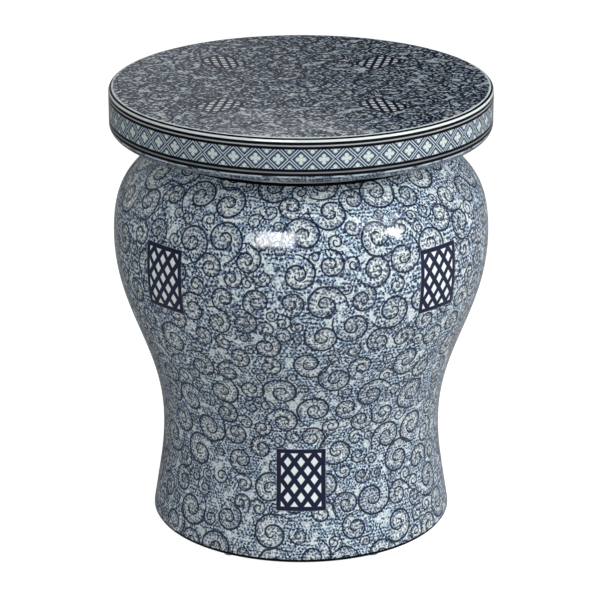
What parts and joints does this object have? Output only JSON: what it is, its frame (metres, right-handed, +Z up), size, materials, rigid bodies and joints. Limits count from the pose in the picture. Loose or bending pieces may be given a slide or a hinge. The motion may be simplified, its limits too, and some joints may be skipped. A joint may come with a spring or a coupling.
{
  "type": "garden stool",
  "caption": "Round glazed ceramic garden stool: a waisted, hollow jar body on a foot ring with a flat lift-off cap seat, painted all over in blue and white scrolls.",
  "frame": {"origin": "on the floor, under the middle of the stool", "axes": "+Z up along the stool's axis, front towards -Y"},
  "size_m": [0.384, 0.384, 0.457],
  "materials": {
    "jar_glaze": "clear gloss glaze over dense blue scroll painting on a pale ground",
    "seat_glaze": "clear gloss glaze over blue scroll painting, with a lattice band round the rim",
    "pad_rubber": "matt black rubber",
    "bumper_rubber": "soft pale grey rubber"
  },
  "bodies": {
    "jar": {"jar_body": "jar_glaze", "foot_pad_1": "pad_rubber", "foot_pad_2": "pad_rubber", "foot_pad_3": "pad_rubber", "foot_pad_4": "pad_rubber", "foot_pad_5": "pad_rubber", "foot_pad_6": "pad_rubber", "seat_bumper_1": "bumper_rubber", "seat_bumper_2": "bumper_rubber", "seat_bumper_3": "bumper_rubber", "seat_bumper_4": "bumper_rubber", "seat_bumper_5": "bumper_rubber", "seat_bumper_6": "bumper_rubber"},
    "seat": {"seat_top": "seat_glaze"}
  },
  "joints": [
    {"name": "seat_lift", "type": "slide", "parent": "jar", "child": "seat", "axis": [0, 0, 1], "range_m": [0, 0.2]}
  ]
}
